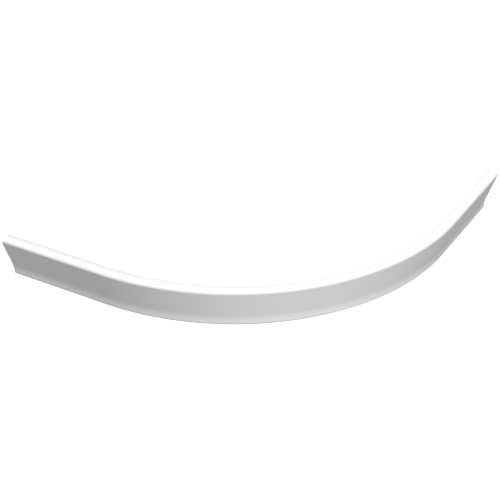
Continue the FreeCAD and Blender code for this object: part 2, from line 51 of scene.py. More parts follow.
# Section of the acrylic sheet
CURVE_RADIUS = 550 * MM
PANEL_HEIGHT = 95 * MM
FACE_SETBACK = 26 * MM
TOE_HEIGHT = 16 * MM
TOE_BLEND = 60 * MM
SHEET_WALL = 4 * MM
TOP_EDGE_RADIUS = 6 * MM
FLANGE_WIDTH = 23.5 * MM
BEAD_WIDTH = 4 * MM
BEAD_HEIGHT = 2.5 * MM
BEAD_DRAFT = 0.8 * MM
BEAD_ROUND = 1.1 * MM
SAWN_EDGE_ROUND = 0.4 * MM

# Painted shade on the flange: a grey line in front of the bead's foot, fainter to the right
SHADE_LINE_PLACE = 3.5 * MM
SHADE_LINE_WIDTH = 8 * MM
SHADE_LINE_STRENGTH = 0.42
SHADE_LINE_FADE_SHARE = 0.4

# Ends of the panel
STRAIGHT_LENGTH = 250 * MM
END_UNDERCUT = 8 * MM
END_EASE = 0.25 * MM
SAWN_ROUGHNESS = 0.55

# Laminate behind the sheet
BACKING_WALL = 3 * MM
BACKING_FOOT = 4 * MM
BACKING_HEAD = 85 * MM
BACKING_END_GAP = 5 * MM
BACKING_ROWS = 26
FEATHERED_EDGE = 7 * MM
FEATHERED_SHARE = 0.35

# Unevenness of the laminate: the mean of many waves is small, so a gain raises it
LUMP_HEIGHT = 0.35 * MM
LUMP_LENGTHS = np.geomspace(12, 60, 12) * MM
RAGGED_EDGE = 1.2 * MM
FRAY_LENGTHS = np.geomspace(9, 60, 7) * MM
RIPPLE_GAIN = 2

# Chopped strands of the laminate, in layers, each turned and shifted from the one before
STRAND_LAYERS = 7
STRAND_LENGTH = 26 * MM
STRAND_WIDTH = 1.1 * MM
STRAND_FIRST_TURN = math.radians(13)
STRAND_TURN = math.radians(26)
STRAND_SHIFT = (370 * MM, 190 * MM)
STRAND_COVER = 0.75

# Strip under the toe
SEAL_HEIGHT = 3 * MM
SEAL_WIDTH = 6 * MM
SEAL_INSET = 0.5 * MM
SEAL_ROUND = 1 * MM

# Fixings behind the panel, all at one height
FIXING_HEIGHT = 33 * MM
RAIL_BASE = 3 * MM
ANGLE_WALL = 2.5 * MM
PLATE_GAP = 0.2 * MM
WASHER_WALL = 1 * MM
RAIL_SCREW_PLACE = 30.3 * MM
ANGLE_SCREW_MARGIN = 24 * MM
ANGLE_SCREW_PITCH = 24 * MM

# Hexagon-head wood screws
SCREW_DIAMETER = 4 * MM
SCREW_LENGTH = 13 * MM
SCREW_COVER = 3 * MM
SCREW_HEAD_FLATS = 7 * MM
SCREW_HEAD_HEIGHT = 2.8 * MM
SCREW_CROWN_DIAMETER = 6.4 * MM
SCREW_CHAMFER_DEPTH = 0.5 * MM
SCREW_CHAMFER_ANGLE = math.radians(30)
SCREW_CHAMFER_RINGS = 7
SCREW_SIDES = 60
SCREW_TIP_LENGTH = 4 * MM
SCREW_TIP_DIAMETER = 0.6 * MM
THREAD_PITCH = 1.8 * MM
THREAD_DEPTH = 0.45 * MM
THREAD_RINGS = 10
DRIVEN_TURN = math.radians(37)

# Eased edges of the pieces that keep their CAD shape
BLOCK_EASE = 0.5 * MM
RAIL_EASE = 0.3 * MM
CLIP_EASE = 0.4 * MM
ANGLE_EASE = 0.3 * MM
WASHER_EASE = 0.15 * MM
EASE_SEGMENTS = 2
SHARP_ANGLE = math.radians(40)
FLAT_ANGLE = math.radians(0.5)
MERGE_DISTANCE = 0.001 * MM

# A quadrant turns through a right angle, half of it on each side of the front
HALF_TURN = math.radians(45)
CLIP_PITCH = math.radians(20)
CLIP_TURNS = [CLIP_PITCH * step for step in (-1.5, -0.5, 0.5, 1.5)]
SIDES = {"left": -1, "right": 1}

# Lean of the face: its run and its length for each unit of height, and the tangent of half its angle
SLOPE = FACE_SETBACK / (PANEL_HEIGHT - TOE_HEIGHT)
STRETCH = math.hypot(1, SLOPE)
BEND_RISE = (STRETCH - 1) / SLOPE

# Radii from the centre of the curve; the rounded top edge ends short of its sharp corner
TOE_RADIUS = CURVE_RADIUS - FACE_SETBACK
FRONT_RADIUS = CURVE_RADIUS - TOP_EDGE_RADIUS * (STRETCH + SLOPE - 1)
CENTRE_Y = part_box("apron_shell")[0].y + FRONT_RADIUS
LAMINATE_BACK = CURVE_RADIUS - SLOPE * (PANEL_HEIGHT - FIXING_HEIGHT) - STRETCH * (SHEET_WALL + BACKING_WALL)
BLOCK_FACE = LAMINATE_BACK - (SCREW_LENGTH - RAIL_BASE) - SCREW_COVER
RAIL_FACE = BLOCK_FACE - RAIL_BASE
WASHER_BACK = BLOCK_FACE - 2 * PLATE_GAP - ANGLE_WALL - WASHER_WALL


def linear(colour):
    """Linear red, green, blue and alpha of an sRGB hex colour such as F4F4F2."""
    parts = np.array([int(colour[i:i + 2], 16) for i in (0, 2, 4)]) / 255
    bright = ((parts + 0.055) / 1.055) ** 2.4
    return (*np.where(parts <= 0.04045, parts / 12.92, bright).tolist(), 1.0)


def per(millimetres):
    """Texture scale that repeats a pattern at this size."""
    return 1 / (millimetres * MM)


def add(tree, kind, sockets=None, **settings):
    """Node of a kind with its settings; a socket takes a number, a colour or a link from another node."""
    made = tree.nodes.new(kind)
    for name, value in settings.items():
        setattr(made, name, value)
    for socket, value in (sockets or {}).items():
        if isinstance(value, bpy.types.NodeSocket):
            tree.links.new(value, made.inputs[socket])
        else:
            made.inputs[socket].default_value = value
    return made


def new_finish(name):
    """Empty material, its node tree and its coordinates."""
    finish = bpy.data.materials.new(name)
    finish.use_nodes = True
    tree = finish.node_tree
    tree.nodes.clear()
    return finish, tree, add(tree, "ShaderNodeTexCoord")


def add_surface(tree, sockets):
    """Shader of a material with its sockets, linked to the material's output."""
    shader = add(tree, "ShaderNodeBsdfPrincipled", sockets)
    add(tree, "ShaderNodeOutputMaterial", {"Surface": shader.outputs["BSDF"]})


def acrylic_finish():
    """Cast white acrylic sheet, vacuum formed: glossy, opaque, with a faint waviness from forming. The mesh
    carries two attributes: one of painted shade, a grey line in front of the bead's foot, and sawn, the dull
    cut ends with the marks of the blade."""
    finish, tree, place = new_finish("white_acrylic_sheet")
    cloud = add(tree, "ShaderNodeTexNoise", {
        "Vector": place.outputs["Object"], "Scale": per(140), "Detail": 2.0})
    colour = add(tree, "ShaderNodeMix", {
        "Factor": cloud.outputs["Fac"], "A": linear("F3F3F3"), "B": linear("F7F7F7")}, data_type="RGBA")
    # Painted shade: a grey line along the bead's foot, mixed into the sheet's colour where the mesh attribute
    # says
    dust_and_painted_shade = add(tree, "ShaderNodeAttribute", attribute_name="dust_and_painted_shade")
    painted_shade_share = add(tree, "ShaderNodeMath", {0: dust_and_painted_shade.outputs["Fac"], 1: SHADE_LINE_STRENGTH}, operation="MULTIPLY")
    with_painted_shade = add(tree, "ShaderNodeMix", {
        "Factor": painted_shade_share.outputs["Value"], "A": colour.outputs["Result"], "B": linear("A9A8A4")},
        data_type="RGBA")
    # Handling scuffs, far finer on the real sheet, are drawn about 5 mm wide so that they show
    scuff = add(tree, "ShaderNodeTexNoise", {
        "Vector": place.outputs["Object"], "Scale": per(5), "Detail": 5.0, "Roughness": 0.65})
    gloss = add(tree, "ShaderNodeMapRange", {
        "Value": scuff.outputs["Fac"], "From Min": 0.35, "From Max": 0.75, "To Min": 0.2, "To Max": 0.28})
    wave = add(tree, "ShaderNodeTexNoise", {
        "Vector": place.outputs["Object"], "Scale": per(22), "Detail": 1.0})
    bump = add(tree, "ShaderNodeBump", {
        "Height": wave.outputs["Fac"], "Strength": 0.25, "Distance": 0.12 * MM})
    sawn = add(tree, "ShaderNodeAttribute", attribute_name="sawn")
    dull = add(tree, "ShaderNodeMix", {
        "Factor": sawn.outputs["Fac"], "A": gloss.outputs["Result"], "B": SAWN_ROUGHNESS})
    stroke = add(tree, "ShaderNodeMapping", {
        "Vector": place.outputs["Object"], "Scale": (per(9), per(9), per(0.9))})
    marks = add(tree, "ShaderNodeTexNoise", {"Vector": stroke.outputs["Vector"], "Scale": 1.0, "Detail": 2.0})
    cut = add(tree, "ShaderNodeBump", {
        "Height": marks.outputs["Fac"], "Strength": sawn.outputs["Fac"], "Distance": 0.3 * MM,
        "Normal": bump.outputs["Normal"]})
    add_surface(tree, {
        "Base Color": with_painted_shade.outputs["Result"], "Roughness": dull.outputs["Result"],
        "Normal": cut.outputs["Normal"], "IOR": 1.49})
    return finish


def laminate_finish():
    """Chopped glass strands rolled into polyester resin: straw-coloured, pale where strands lie near the top.
    Each layer of strands is noise stretched along one direction of the piece's own UV map."""
    finish, tree, place = new_finish("glass_fibre_laminate")
    strands = None
    for step in range(STRAND_LAYERS):
        lay = add(tree, "ShaderNodeMapping", {
            "Vector": place.outputs["UV"],
            "Location": (STRAND_SHIFT[0] * step, STRAND_SHIFT[1] * step, 0),
            "Rotation": (0, 0, STRAND_FIRST_TURN + STRAND_TURN * step),
            "Scale": (STRAND_LENGTH, STRAND_WIDTH, 1)}, vector_type="TEXTURE")
        noise = add(tree, "ShaderNodeTexNoise", {
            "Vector": lay.outputs["Vector"], "Scale": 1.0, "Detail": 1.0})
        layer = add(tree, "ShaderNodeMapRange", {
            "Value": noise.outputs["Fac"], "From Min": 0.56, "From Max": 0.66}).outputs["Result"]
        if strands:
            layer = add(tree, "ShaderNodeMath", {0: strands, 1: layer}, operation="MAXIMUM").outputs["Value"]
        strands = layer
    pool = add(tree, "ShaderNodeTexNoise", {"Vector": place.outputs["UV"], "Scale": per(30), "Detail": 3.0})
    resin = add(tree, "ShaderNodeMix", {
        "Factor": pool.outputs["Fac"], "A": linear("CFC7A8"), "B": linear("DDD7C0")}, data_type="RGBA")
    show = add(tree, "ShaderNodeMath", {0: strands, 1: STRAND_COVER}, operation="MULTIPLY")
    colour = add(tree, "ShaderNodeMix", {
        "Factor": show.outputs["Value"], "A": resin.outputs["Result"], "B": linear("F0EDE2")},
        data_type="RGBA")
    gloss = add(tree, "ShaderNodeMapRange", {"Value": strands, "To Min": 0.28, "To Max": 0.5})
    bump = add(tree, "ShaderNodeBump", {"Height": strands, "Strength": 0.5, "Distance": 0.25 * MM})
    add_surface(tree, {
        "Base Color": colour.outputs["Result"], "Roughness": gloss.outputs["Result"],
        "Normal": bump.outputs["Normal"], "IOR": 1.54})
    return finish


def strip_finish():
    """Soft extruded PVC: pale grey, dull, with faint lines along its run."""
    finish, tree, place = new_finish("soft_grey_pvc")
    dust_and_painted_shade = add(tree, "ShaderNodeTexNoise", {
        "Vector": place.outputs["Object"], "Scale": per(6), "Detail": 4.0})
    colour = add(tree, "ShaderNodeMix", {
        "Factor": dust_and_painted_shade.outputs["Fac"], "A": linear("DADAD8"), "B": linear("E6E6E4")}, data_type="RGBA")
    split = add(tree, "ShaderNodeSeparateXYZ", {"Vector": place.outputs["Object"]})
    line = add(tree, "ShaderNodeMath", {
        0: split.outputs["Z"], 1: 2 * math.pi * per(0.6)}, operation="MULTIPLY")
    rib = add(tree, "ShaderNodeMath", {0: line.outputs["Value"]}, operation="SINE")
    bump = add(tree, "ShaderNodeBump", {
        "Height": rib.outputs["Value"], "Strength": 0.4, "Distance": 0.05 * MM})
    gloss = add(tree, "ShaderNodeMapRange", {"Value": dust_and_painted_shade.outputs["Fac"], "To Min": 0.5, "To Max": 0.7})
    add_surface(tree, {
        "Base Color": colour.outputs["Result"], "Roughness": gloss.outputs["Result"],
        "Normal": bump.outputs["Normal"]})
    return finish


def plywood_finish(turn):
    """Bare birch plywood: veneers glued crosswise show as pale and brown bands on the sawn edges, and the
    flat back shows long grain. The pattern is turned to the block: depth in X, along the panel in Y."""
    finish, tree, place = new_finish(f"birch_plywood_{round(math.degrees(turn)) % 360}")
    veneer_mm = 1.5
    glue_share = 0.04
    glue = linear("6E4A2A")
    board = add(tree, "ShaderNodeMapping", {
        "Vector": place.outputs["Object"], "Rotation": (0, 0, math.pi / 2 - turn),
        "Location": (CENTRE_Y * math.cos(turn) - BLOCK_FACE, CENTRE_Y * math.sin(turn), 0)})
    split = add(tree, "ShaderNodeSeparateXYZ", {"Vector": board.outputs["Vector"]})
    pair = add(tree, "ShaderNodeMath", {0: split.outputs["X"], 1: per(2 * veneer_mm)}, operation="MULTIPLY")
    share = add(tree, "ShaderNodeMath", {0: pair.outputs["Value"]}, operation="FRACT")
    bands = add(tree, "ShaderNodeValToRGB", {"Fac": share.outputs["Value"]})
    bands.color_ramp.interpolation = "CONSTANT"
    for start, shade in ((0.5 - glue_share, glue), (0.5, linear("B58A58")), (1 - glue_share, glue)):
        bands.color_ramp.elements.new(start).color = shade
    bands.color_ramp.elements[0].color = linear("DDBE90")
    bands.color_ramp.elements[-1].color = glue
    fibres = add(tree, "ShaderNodeMapping", {
        "Vector": board.outputs["Vector"], "Scale": (per(1.2), per(38), per(1.2))})
    grain = add(tree, "ShaderNodeTexNoise", {
        "Vector": fibres.outputs["Vector"], "Scale": 1.0, "Detail": 4.0, "Distortion": 0.4})
    streak = add(tree, "ShaderNodeMapRange", {
        "Value": grain.outputs["Fac"], "From Min": 0.3, "From Max": 0.7, "To Min": 0.72, "To Max": 1.08})
    colour = add(tree, "ShaderNodeVectorMath", {
        0: bands.outputs["Color"], 1: streak.outputs["Result"]}, operation="MULTIPLY")
    bump = add(tree, "ShaderNodeBump", {
        "Height": grain.outputs["Fac"], "Strength": 0.5, "Distance": 0.2 * MM})
    gloss = add(tree, "ShaderNodeMapRange", {"Value": grain.outputs["Fac"], "To Min": 0.65, "To Max": 0.85})
    add_surface(tree, {
        "Base Color": colour.outputs["Vector"], "Roughness": gloss.outputs["Result"],
        "Normal": bump.outputs["Normal"]})
    return finish


def rail_finish():
    """Moulded white ABS: an even satin grain from a spark-eroded mould, a little yellower in thick places."""
    finish, tree, place = new_finish("moulded_white_abs")
    cloud = add(tree, "ShaderNodeTexNoise", {
        "Vector": place.outputs["Object"], "Scale": per(18), "Detail": 2.0})
    colour = add(tree, "ShaderNodeMix", {
        "Factor": cloud.outputs["Fac"], "A": linear("DEDDD6"), "B": linear("ECECE8")}, data_type="RGBA")
    # The spark grain, about 0.1 mm on the real moulding, is drawn at 0.7 mm so that it shows
    grain = add(tree, "ShaderNodeTexNoise", {
        "Vector": place.outputs["Object"], "Scale": per(0.7), "Detail": 2.0})
    gloss = add(tree, "ShaderNodeMapRange", {"Value": grain.outputs["Fac"], "To Min": 0.36, "To Max": 0.54})
    bump = add(tree, "ShaderNodeBump", {
        "Height": grain.outputs["Fac"], "Strength": 0.3, "Distance": 0.06 * MM})
    add_surface(tree, {
        "Base Color": colour.outputs["Result"], "Roughness": gloss.outputs["Result"],
        "Normal": bump.outputs["Normal"], "IOR": 1.54})
    return finish


def clip_finish():
    """Moulded grey nylon: satin, slightly mottled, with streaks where the melt flowed round the ring."""
    finish, tree, place = new_finish("moulded_grey_nylon")
    flow = add(tree, "ShaderNodeTexNoise", {
        "Vector": place.outputs["Object"], "Scale": per(9), "Detail": 5.0, "Distortion": 1.6})
    colour = add(tree, "ShaderNodeMix", {
        "Factor": flow.outputs["Fac"], "A": linear("53565B"), "B": linear("6E7277")}, data_type="RGBA")
    # The grain of the mould, finer on the real clip, is drawn at 0.9 mm so that it shows
    grain = add(tree, "ShaderNodeTexNoise", {
        "Vector": place.outputs["Object"], "Scale": per(0.9), "Detail": 2.0})
    gloss = add(tree, "ShaderNodeMapRange", {"Value": flow.outputs["Fac"], "To Min": 0.36, "To Max": 0.56})
    bump = add(tree, "ShaderNodeBump", {
        "Height": grain.outputs["Fac"], "Strength": 0.25, "Distance": 0.05 * MM})
    add_surface(tree, {
        "Base Color": colour.outputs["Result"], "Roughness": gloss.outputs["Result"],
        "Normal": bump.outputs["Normal"], "IOR": 1.53})
    return finish


def zinc_finish():
    """Bright zinc plate on pressed steel: bluish, satin, mottled by the bath, with fine rolling lines."""
    finish, tree, place = new_finish("zinc_plated_steel")
    mottle = add(tree, "ShaderNodeTexNoise", {
        "Vector": place.outputs["Object"], "Scale": per(4), "Detail": 5.0})
    colour = add(tree, "ShaderNodeMix", {
        "Factor": mottle.outputs["Fac"], "A": linear("B9BEC4"), "B": linear("DCDFE2")}, data_type="RGBA")
    # Rolling lines, finer on the real plate, are drawn 0.5 mm wide so that they show
    rolled = add(tree, "ShaderNodeMapping", {
        "Vector": place.outputs["Object"], "Scale": (per(14), per(14), per(0.5))})
    line = add(tree, "ShaderNodeTexNoise", {"Vector": rolled.outputs["Vector"], "Scale": 1.0, "Detail": 3.0})
    gloss = add(tree, "ShaderNodeMapRange", {"Value": mottle.outputs["Fac"], "To Min": 0.34, "To Max": 0.52})
    bump = add(tree, "ShaderNodeBump", {
        "Height": line.outputs["Fac"], "Strength": 0.3, "Distance": 0.04 * MM})
    add_surface(tree, {
        "Base Color": colour.outputs["Result"], "Roughness": gloss.outputs["Result"],
        "Normal": bump.outputs["Normal"], "Metallic": 0.75})
    return finish


def rounded_outline(corners, arc_step=math.radians(9)):
    """Closed outline through (radius, height, rounding) corners: a rounded corner becomes an arc tangent to
    its two sides, with a point every arc_step of its turn, and any other corner stays one point."""
    corners = np.array(corners)
    spots = corners[:, :2]
    points = []
    for i, rounding in enumerate(corners[:, 2]):
        if not rounding:
            points.append(spots[i][None])
            continue
        back = spots[i - 1] - spots[i]
        ahead = spots[(i + 1) % len(corners)] - spots[i]
        back, ahead = back / np.linalg.norm(back), ahead / np.linalg.norm(ahead)
        half = math.acos(np.clip(back @ ahead, -1, 1)) / 2
        middle = (back + ahead) / np.linalg.norm(back + ahead)
        centre = spots[i] + middle * rounding / math.sin(half)
        sweep = math.pi - 2 * half
        across = np.array([-middle[1], middle[0]])
        side = math.copysign(1, across @ back)
        turn = np.linspace(sweep / 2, -sweep / 2, max(2, math.ceil(sweep / arc_step) + 1)) * side
        points.append(centre + rounding * (across * np.sin(turn)[:, None] - middle * np.cos(turn)[:, None]))
    return np.concatenate(points)


def shrunk(outline, distance):
    """Outline moved inwards by a distance along the normals of its own points."""
    run = np.roll(outline, -1, axis=0) - np.roll(outline, 1, axis=0)
    normal = np.stack([-run[:, 1], run[:, 0]], axis=1) / np.linalg.norm(run, axis=1)[:, None]
    x, y = outline.T
    area = np.sum(x * np.roll(y, -1) - y * np.roll(x, -1))
    return outline + normal * distance * math.copysign(1, area)


def panel_stations(arc_count, straight_count):
    """Stations along the panel: each one's turn from the front, and the share of a straight end that it
    has run, negative to the left."""
    share = np.linspace(0, 1, straight_count + 1)[1:]
    bend = np.linspace(-HALF_TURN, HALF_TURN, arc_count + 1)
    turn = np.concatenate([np.full(straight_count, -HALF_TURN), bend, np.full(straight_count, HALF_TURN)])
    run = np.concatenate([-share[::-1], np.zeros(arc_count + 1), share])
    return turn, run


def carried(outline, turn, run, reach):
    """Outline carried along the panel: a point at radius r and height z lies r out from the centre of the
    curve in the station's own direction, and run times reach further along the straight end."""
    r, z = outline[..., 0], outline[..., 1]
    along = run[:, None] * reach
    x = r * np.sin(turn)[:, None] + along * np.cos(turn)[:, None]
    y = CENTRE_Y - r * np.cos(turn)[:, None] + along * np.sin(turn)[:, None]
    return np.stack([x, y, np.broadcast_to(z, x.shape)], axis=-1)


def tube_mesh(name, *tubes):
    """Mesh of closed tubes over rings of points: quads between neighbouring rings, and a face over each
    end ring."""
    points = []
    faces = []
    for rings in tubes:
        count, size = rings.shape[:2]
        index = np.arange(count * size).reshape(count, size) + sum(len(part) for part in points)
        after = np.roll(index, -1, axis=1)
        quads = np.stack([index[:-1], after[:-1], after[1:], index[1:]], axis=-1)
        faces += quads.reshape(-1, 4).tolist() + [index[0][::-1].tolist(), index[-1].tolist()]
        points.append(rings.reshape(-1, 3))
    mesh = bpy.data.meshes.new(name)
    mesh.from_pydata(np.concatenate(points).tolist(), [], faces)
    return mesh


def finished_piece(mesh, finish, slot, body, *nodes, crease=math.radians(35)):
    """Object of a mesh, its faces outwards and smooth up to a crease, that stands for CAD nodes of a body."""
    shape = bmesh.new()
    shape.from_mesh(mesh)
    bmesh.ops.recalc_face_normals(shape, faces=shape.faces)
    shape.to_mesh(mesh)
    shape.free()
    mesh.shade_smooth()
    mesh.set_sharp_from_angle(angle=crease)
    mesh.materials.append(finish)
    piece = bpy.data.objects.new(mesh.name, mesh)
    bpy.context.scene.collection.objects.link(piece)
    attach(piece, body)
    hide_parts(*nodes)
    return piece


def undercut_reach(height):
    """Length of a straight end at a height: the sawn end leans back below the flange."""
    return STRAIGHT_LENGTH - END_UNDERCUT * np.clip(1 - height / PANEL_HEIGHT, 0, 1)


def make_acrylic_panel():
    """Sheet of even wall: flange with a bead along its inner edge, leaning face and upright toe."""
    bead_front = CURVE_RADIUS - FLANGE_WIDTH
    bead_back = bead_front - BEAD_WIDTH
    bead_top = PANEL_HEIGHT + BEAD_HEIGHT
    shade_line = bead_front + SHADE_LINE_PLACE
    flange_under = PANEL_HEIGHT - SHEET_WALL
    inner_top = CURVE_RADIUS - SHEET_WALL * (STRETCH + SLOPE)
    inner_toe = TOE_RADIUS - SHEET_WALL
    outline = rounded_outline([
        (TOE_RADIUS, SEAL_HEIGHT, SAWN_EDGE_ROUND),
        (TOE_RADIUS, TOE_HEIGHT, TOE_BLEND),
        (CURVE_RADIUS, PANEL_HEIGHT, TOP_EDGE_RADIUS),
        (shade_line + SHADE_LINE_WIDTH, PANEL_HEIGHT, 0),
        (shade_line, PANEL_HEIGHT, 0),
        (bead_front, PANEL_HEIGHT, BEAD_ROUND),
        (bead_front - BEAD_DRAFT, bead_top, BEAD_ROUND),
        (bead_back, bead_top, BEAD_ROUND),
        (bead_back, flange_under, SAWN_EDGE_ROUND),
        (inner_top, flange_under, TOP_EDGE_RADIUS - SHEET_WALL),
        (inner_toe, TOE_HEIGHT + SHEET_WALL * BEND_RISE, TOE_BLEND + SHEET_WALL),
        (inner_toe, SEAL_HEIGHT, SAWN_EDGE_ROUND),
    ])
    turn, run = panel_stations(arc_count=180, straight_count=24)
    rings = carried(outline, turn, run, undercut_reach(outline[:, 1]))
    # Each sawn end is eased: the outline stops short of it, and a smaller one closes it
    eased = shrunk(outline, END_EASE)
    ends = carried(eased, turn[[0, -1]], run[[0, -1]], undercut_reach(eased[:, 1]))
    rings[[0, -1]] = carried(outline, turn[[0, -1]], run[[0, -1]], undercut_reach(outline[:, 1]) - END_EASE)
    rings = np.concatenate([ends[:1], rings, ends[1:]])
    mesh = tube_mesh("acrylic_panel", rings)
    # Painted shade lies along a line in front of the bead's foot, fades over its width and grows fainter to
    # the right
    from_line = np.hypot(outline[:, 0] - shade_line, outline[:, 1] - PANEL_HEIGHT)
    dust_and_painted_shade = np.clip(1 - from_line / SHADE_LINE_WIDTH, 0, 1)
    shade_strength = np.linspace(1, SHADE_LINE_FADE_SHARE, len(rings))
    painted_shade_map = np.outer(shade_strength, dust_and_painted_shade)
    mesh.attributes.new("dust_and_painted_shade", "FLOAT", "POINT").data.foreach_set("value", painted_shade_map.ravel())
    sawn = np.zeros((len(rings), len(outline)))
    sawn[[0, -1]] = 1
    mesh.attributes.new("sawn", "FLOAT", "POINT").data.foreach_set("value", sawn.ravel())
    return finished_piece(mesh, acrylic_finish(), "acrylic", "panel", "apron_shell")


def wall_radius(height, depth):
    """Radius at a height, this deep behind the face: upright at the toe, then an arc round a centre in front
    of the toe, then the lean of the face, each tangent to the next."""
    arc_radius = TOE_BLEND + depth
    climb = height - (TOE_HEIGHT - TOE_BLEND * BEND_RISE)
    arc_rise = arc_radius * SLOPE / STRETCH
    on_arc = np.clip(climb, 0, arc_rise)
    lean = SLOPE * np.maximum(climb - arc_rise, 0)
    return TOE_RADIUS + TOE_BLEND - np.sqrt(arc_radius ** 2 - on_arc ** 2) + lean


def ripple(along, up, lengths, seed):
    """Unevenness from -1 to 1: the mean of sine waves, one of each length, in seeded directions and
    phases."""
    draw = np.random.default_rng(seed)
    way = draw.uniform(0, math.pi, len(lengths))
    phase = draw.uniform(0, 2 * math.pi, len(lengths))
    across = along[..., None] * np.cos(way) + up[..., None] * np.sin(way)
    return np.sin(2 * math.pi * across / lengths + phase).mean(axis=-1)


def make_laminate():
    """Laminate on the back of the sheet. Its smooth side lies on the sheet. Its rolled side is a wall's depth
    behind, uneven by the ripple of the roller, thinner towards a ragged head and foot."""
    turn, run = panel_stations(arc_count=240, straight_count=70)
    reach = STRAIGHT_LENGTH - END_UNDERCUT - BACKING_END_GAP
    along = turn * TOE_RADIUS + run * reach
    head = BACKING_HEAD - RAGGED_EDGE * (1 + RIPPLE_GAIN * ripple(along, 0 * along, FRAY_LENGTHS, seed=1))
    foot = BACKING_FOOT + RAGGED_EDGE * (1 + ripple(along, 0 * along, FRAY_LENGTHS, seed=2))
    height = foot[:, None] + (head - foot)[:, None] * np.linspace(0, 1, BACKING_ROWS)
    along = np.broadcast_to(along[:, None], height.shape)
    edge = np.minimum(height - foot[:, None], head[:, None] - height) / FEATHERED_EDGE
    fullness = FEATHERED_SHARE + (1 - FEATHERED_SHARE) * np.sin(np.clip(edge, 0, 1) * math.pi / 2)
    lumps = RIPPLE_GAIN * LUMP_HEIGHT * ripple(along, height, LUMP_LENGTHS, seed=3)
    depth = SHEET_WALL + BACKING_WALL * fullness + lumps * fullness
    smooth = np.stack([wall_radius(height, SHEET_WALL), height], axis=-1)
    rolled = np.stack([wall_radius(height, depth), height], axis=-1)
    outline = np.concatenate([smooth, rolled[:, ::-1]], axis=1)
    mesh = tube_mesh("glass_fibre_backing", carried(outline, turn, run, reach))
    spread = np.stack([np.concatenate([along, along], axis=1), outline[..., 1]], axis=-1).reshape(-1, 2)
    corners = np.empty(len(mesh.loops), int)
    mesh.loops.foreach_get("vertex_index", corners)
    mesh.uv_layers.new(name="spread").data.foreach_set("uv", spread[corners].ravel())
    return finished_piece(mesh, laminate_finish(), "laminate", "panel", "grp_backing",
                          crease=math.radians(60))


def make_floor_strip():
    """Strip between the toe and the floor, rounded where it meets the floor."""
    front = TOE_RADIUS - SEAL_INSET
    back = front - SEAL_WIDTH
    outline = rounded_outline([
        (front, 0, SEAL_ROUND),
        (front, SEAL_HEIGHT, 0),
        (back, SEAL_HEIGHT, 0),
        (back, 0, SEAL_ROUND),
    ])
    turn, run = panel_stations(arc_count=120, straight_count=6)
    rings = carried(outline, turn, run, STRAIGHT_LENGTH - END_UNDERCUT)
    return finished_piece(tube_mesh("floor_strip", rings), strip_finish(), "seal", "panel", "floor_seal")


def eased_copy(node, name, finish, slot, body, ease):
    """Copy of a CAD node, its triangles merged into whole faces, with its sharp edges eased."""
    mesh = bpy.data.meshes.new(name)
    shape = bmesh.new()
    shape.from_mesh(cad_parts[node].data)
    bmesh.ops.remove_doubles(shape, verts=shape.verts, dist=MERGE_DISTANCE)
    bmesh.ops.dissolve_limit(shape, angle_limit=FLAT_ANGLE, verts=shape.verts, edges=shape.edges)
    shape.to_mesh(mesh)
    shape.free()
    piece = finished_piece(mesh, finish, slot, body, node)
    bevel = piece.modifiers.new("eased_edges", "BEVEL")
    bevel.limit_method = "ANGLE"
    bevel.angle_limit = SHARP_ANGLE
    bevel.width = ease
    bevel.segments = EASE_SEGMENTS
    bevel.use_clamp_overlap = False
    bevel.harden_normals = True
    return piece


def screw_rings():
    """Screw about a line, as (height, angle) rings of (height, across, up) from the crown of its head to its
    tip. The head's radius is the smaller of a hexagon and a chamfering cone. The shank's radius loses a
    groove that runs round it once every pitch, and narrows to the tip."""
    angle = np.linspace(0, 2 * math.pi, SCREW_SIDES, endpoint=False)
    sixth = math.pi / 3
    hexagon = SCREW_HEAD_FLATS / 2 / np.cos((angle + sixth / 2) % sixth - sixth / 2)
    chamfer = np.linspace(0, SCREW_CHAMFER_DEPTH, SCREW_CHAMFER_RINGS)
    rise = SCREW_HEAD_HEIGHT - np.concatenate([chamfer, [SCREW_HEAD_HEIGHT]])
    cone = SCREW_CROWN_DIAMETER / 2 + (SCREW_HEAD_HEIGHT - rise) / math.tan(SCREW_CHAMFER_ANGLE)
    head = np.minimum(hexagon, cone[:, None])
    depth = np.arange(0, SCREW_LENGTH, THREAD_PITCH / THREAD_RINGS)
    wave = np.abs((depth[:, None] / THREAD_PITCH + angle / (2 * math.pi)) % 1 * 2 - 1)
    tip_share = np.clip((depth - SCREW_LENGTH + SCREW_TIP_LENGTH) / SCREW_TIP_LENGTH, 0, 1)[:, None]
    core = SCREW_DIAMETER / 2 - THREAD_DEPTH * wave
    shank = core + (SCREW_TIP_DIAMETER / 2 - core) * tip_share
    radius = np.concatenate([head, shank])
    height = np.concatenate([rise, -depth])
    return np.stack([np.broadcast_to(height[:, None], radius.shape),
                     radius * np.cos(angle), radius * np.sin(angle)], axis=-1)


def make_screws(name, node, finish, places):
    """Screws at (turn, radius, along) places, heads towards the centre of the curve, each driven to its own
    angle."""
    height, across, up = np.moveaxis(screw_rings(), -1, 0)
    tubes = []
    for number, (turn, radius, along) in enumerate(places):
        driven = DRIVEN_TURN * number
        sideways = across * math.cos(driven) - up * math.sin(driven) + along
        z = across * math.sin(driven) + up * math.cos(driven) + FIXING_HEIGHT
        out = radius - height
        x = out * math.sin(turn) + sideways * math.cos(turn)
        y = CENTRE_Y - out * math.cos(turn) + sideways * math.sin(turn)
        tubes.append(np.stack([x, y, z], axis=-1))
    return finished_piece(tube_mesh(name, *tubes), finish, "zinc", "panel", node, crease=math.radians(25))


def make_clips():
    """Along the arc: bonded plywood blocks, slotted rails and the spring clips that slide in them."""
    white = rail_finish()
    grey = clip_finish()
    for number, turn in enumerate(CLIP_TURNS, start=1):
        eased_copy(f"clip_block_{number}", f"bonded_block_{number}", plywood_finish(turn), "plywood", "panel",
                   BLOCK_EASE)
        eased_copy(f"clip_rail_{number}", f"slotted_rail_{number}", white, "rail_plastic", "panel", RAIL_EASE)
        eased_copy(f"leg_clip_{number}", f"spring_clip_{number}", grey, "clip_plastic", f"leg_clip_{number}",
                   CLIP_EASE)


